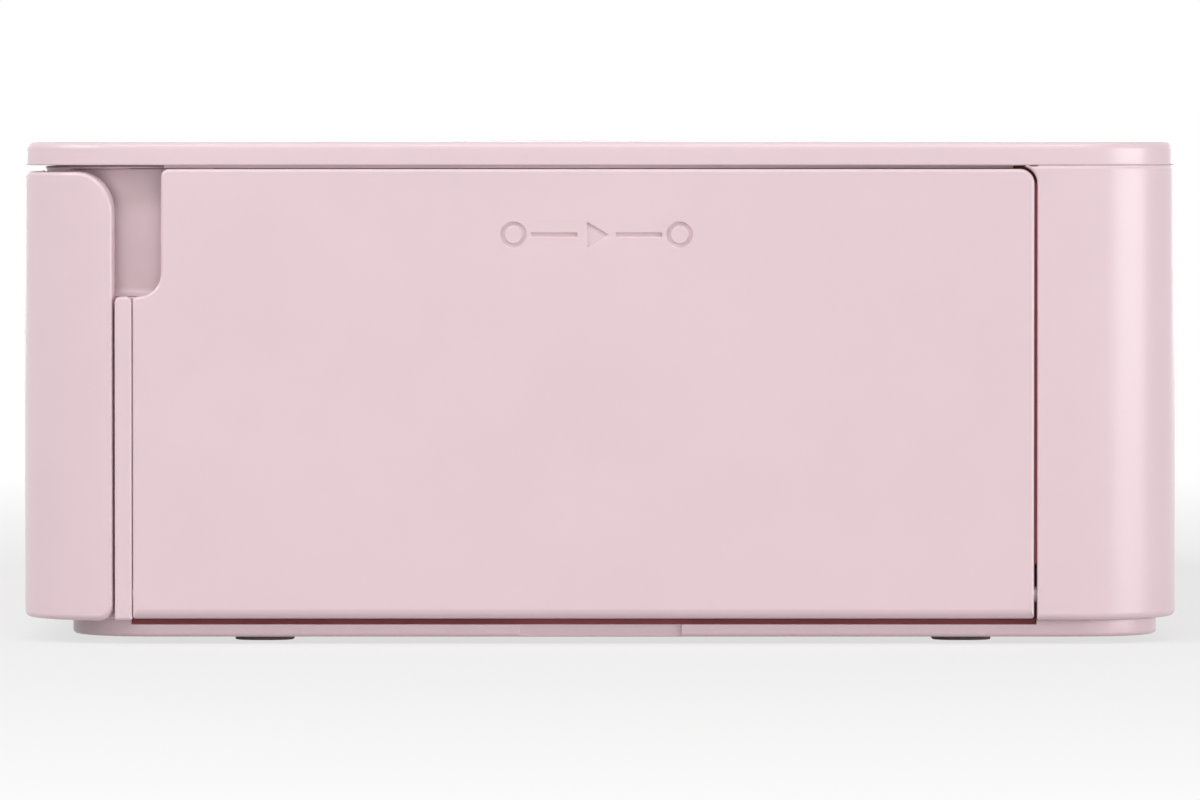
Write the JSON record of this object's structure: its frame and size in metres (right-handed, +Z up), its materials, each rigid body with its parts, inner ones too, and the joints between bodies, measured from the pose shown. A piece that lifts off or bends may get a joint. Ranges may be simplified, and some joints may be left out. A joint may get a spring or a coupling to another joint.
{
  "type": "compact photo printer",
  "caption": "Compact dye-sublimation photo printer: rounded pink case, drop-down front cover and ink door, flush keys, screen, rollers, ribbon cassette and a cam-lowered print head.",
  "frame": {"origin": "centre of the case outline, on the table plane under the rubber feet", "axes": "+Z up, -Y out of the front cover, +X out of the ink door"},
  "size_m": [0.1822, 0.133, 0.0576],
  "materials": {
    "pink_case": "satin moulded plastic",
    "grey_key": "satin moulded plastic",
    "foot_rubber": "matte",
    "roller_rubber": "ground matte",
    "zinc_steel": "zinc plated",
    "black_moulding": "fine texture",
    "grey_moulding": "fine texture",
    "screen_black": "polished",
    "panel_frame": "matte",
    "board_green": "solder resist",
    "bronze": "sintered",
    "white_acetal": "moulded",
    "head_ceramic": "glazed",
    "heatsink_aluminium": "extruded",
    "ribbon_film": "dyed film"
  },
  "bodies": {
    "printer_case": {"bottom_case": "pink_case", "rubber_feet": "foot_rubber", "case_screws": "zinc_steel", "rear_shell": "pink_case", "front_panel": "pink_case", "top_cover": "pink_case", "ink_bay_frame": "black_moulding", "cover_hinge_pins": "zinc_steel", "screen_glass": "screen_black", "display_panel": "panel_frame", "key_board": "board_green", "key_switches": "zinc_steel", "chassis_left": "zinc_steel", "chassis_right": "zinc_steel", "cross_bars": "zinc_steel", "gear_plate": "grey_moulding", "roller_bushings": "bronze", "exit_guide": "black_moulding", "paper_ramp": "black_moulding", "rear_guide": "black_moulding", "feed_motor": "zinc_steel", "ribbon_motor": "zinc_steel", "lift_motor": "zinc_steel", "cassette_frame": "black_moulding", "ink_ribbon": "ribbon_film", "main_board": "board_green", "card_board": "board_green", "card_socket": "zinc_steel", "usb_socket": "zinc_steel", "power_board": "board_green", "dc_jack": "black_moulding"},
    "front_cover": {"front_cover": "pink_case"},
    "ink_door": {"ink_door": "pink_case"},
    "eject_lever": {"eject_lever": "grey_moulding"},
    "power_key": {"power_key": "grey_key"},
    "back_key": {"back_key": "pink_case"},
    "menu_key": {"menu_key": "pink_case"},
    "edit_key": {"edit_key": "pink_case"},
    "nav_rocker": {"nav_rocker": "black_moulding"},
    "nav_ring": {"nav_ring": "pink_case"},
    "ok_key": {"ok_key": "pink_case"},
    "print_key": {"print_key": "grey_key"},
    "platen": {"platen_roller": "roller_rubber"},
    "capstan": {"capstan_roller": "zinc_steel", "capstan_gear": "white_acetal"},
    "feed_pinion": {"feed_pinion": "bronze"},
    "pinch": {"pinch_roller": "roller_rubber"},
    "takeup_drive": {"takeup_gear": "white_acetal", "takeup_spool": "ribbon_film"},
    "ribbon_pinion": {"ribbon_pinion": "bronze"},
    "pickup": {"pickup_roller": "roller_rubber", "pickup_gear": "white_acetal"},
    "supply_drive": {"supply_hub": "white_acetal", "supply_spool": "ribbon_film"},
    "head_cam": {"cam_shaft": "white_acetal", "cam_gear": "white_acetal"},
    "lift_pinion": {"lift_pinion": "bronze"},
    "head": {"thermal_head": "head_ceramic", "head_heatsink": "heatsink_aluminium"}
  },
  "joints": [
    {"name": "front_cover_hinge", "type": "hinge", "parent": "printer_case", "child": "front_cover", "pos_m": [0, -0.0633, 0.0046], "axis": [1, 0, 0], "range_deg": [0, 90]},
    {"name": "ink_door_hinge", "type": "hinge", "parent": "printer_case", "child": "ink_door", "pos_m": [0.0894, 0, 0.0057], "axis": [0, 1, 0], "range_deg": [0, 90]},
    {"name": "eject_lever_pivot", "type": "hinge", "parent": "printer_case", "child": "eject_lever", "pos_m": [0.08725, -0.0375, 0.014], "axis": [1, 0, 0], "range_deg": [0, 7], "stiffness_Nm_per_rad": 0.2, "springref_deg": -4.58},
    {"name": "power_press", "type": "slide", "parent": "printer_case", "child": "power_key", "axis": [0, 0, -1], "range_m": [0, 0.0005], "stiffness_N_per_m": 600, "springref_m": -0.0004},
    {"name": "back_press", "type": "slide", "parent": "printer_case", "child": "back_key", "axis": [0, 0, -1], "range_m": [0, 0.0005], "stiffness_N_per_m": 600, "springref_m": -0.0004},
    {"name": "menu_press", "type": "slide", "parent": "printer_case", "child": "menu_key", "axis": [0, 0, -1], "range_m": [0, 0.0005], "stiffness_N_per_m": 600, "springref_m": -0.0004},
    {"name": "edit_press", "type": "slide", "parent": "printer_case", "child": "edit_key", "axis": [0, 0, -1], "range_m": [0, 0.0005], "stiffness_N_per_m": 600, "springref_m": -0.0004},
    {"name": "ok_press", "type": "slide", "parent": "printer_case", "child": "ok_key", "axis": [0, 0, -1], "range_m": [0, 0.0005], "stiffness_N_per_m": 600, "springref_m": -0.0004},
    {"name": "print_press", "type": "slide", "parent": "printer_case", "child": "print_key", "axis": [0, 0, -1], "range_m": [0, 0.0005], "stiffness_N_per_m": 600, "springref_m": -0.0004},
    {"name": "nav_tilt_side", "type": "hinge", "parent": "printer_case", "child": "nav_rocker", "pos_m": [0.0551, -0.004, 0.05222], "axis": [0, 1, 0], "range_deg": [-1.8, 1.8], "stiffness_Nm_per_rad": 0.5},
    {"name": "nav_tilt_fore", "type": "hinge", "parent": "nav_rocker", "child": "nav_ring", "pos_m": [0.0551, -0.004, 0.05514], "axis": [1, 0, 0], "range_deg": [-1.8, 1.8], "stiffness_Nm_per_rad": 0.5},
    {"name": "platen_spin", "type": "hinge", "parent": "printer_case", "child": "platen", "pos_m": [0, 0.006, 0.0175], "axis": [1, 0, 0], "continuous": true},
    {"name": "capstan_spin", "type": "hinge", "parent": "printer_case", "child": "capstan", "pos_m": [0, 0.048, 0.0205], "axis": [1, 0, 0], "continuous": true},
    {"name": "feed_pinion_spin", "type": "hinge", "parent": "printer_case", "child": "feed_pinion", "pos_m": [0, 0.03909, 0.02941], "axis": [1, 0, 0], "continuous": true},
    {"name": "pinch_spin", "type": "hinge", "parent": "printer_case", "child": "pinch", "pos_m": [0, 0.048, 0.0272], "axis": [1, 0, 0], "continuous": true},
    {"name": "takeup_spin", "type": "hinge", "parent": "printer_case", "child": "takeup_drive", "pos_m": [0, -0.019, 0.0365], "axis": [1, 0, 0], "continuous": true},
    {"name": "ribbon_pinion_spin", "type": "hinge", "parent": "printer_case", "child": "ribbon_pinion", "pos_m": [0, -0.03276, 0.02795], "axis": [1, 0, 0], "continuous": true},
    {"name": "pickup_spin", "type": "hinge", "parent": "printer_case", "child": "pickup", "pos_m": [0, -0.042, 0.0177], "axis": [1, 0, 0], "continuous": true},
    {"name": "supply_spin", "type": "hinge", "parent": "printer_case", "child": "supply_drive", "pos_m": [0, 0.031, 0.0365], "axis": [1, 0, 0], "continuous": true},
    {"name": "cam_turn", "type": "hinge", "parent": "printer_case", "child": "head_cam", "pos_m": [0, 0.006, 0.0435], "axis": [1, 0, 0], "range_deg": [0, 180]},
    {"name": "lift_pinion_turn", "type": "hinge", "parent": "printer_case", "child": "lift_pinion", "pos_m": [0, 0.018, 0.0435], "axis": [1, 0, 0], "range_deg": [-421, 1]},
    {"name": "head_lower", "type": "slide", "parent": "printer_case", "child": "head", "axis": [0, 0, -1], "range_m": [0, 0.0048]}
  ],
  "couplings": [
    {"joint": "feed_pinion_spin", "follows": "capstan_spin", "ratio": -2.5},
    {"joint": "pinch_spin", "follows": "capstan_spin", "ratio": -0.90909},
    {"joint": "ribbon_pinion_spin", "follows": "takeup_spin", "ratio": -3.5},
    {"joint": "pickup_spin", "follows": "takeup_spin", "ratio": 1.2353},
    {"joint": "supply_spin", "follows": "takeup_spin", "ratio": 0.81633},
    {"joint": "lift_pinion_turn", "follows": "head_lower", "rad_per_m": -1527},
    {"joint": "cam_turn", "follows": "head_lower", "rad_per_m": 654.43}
  ]
}
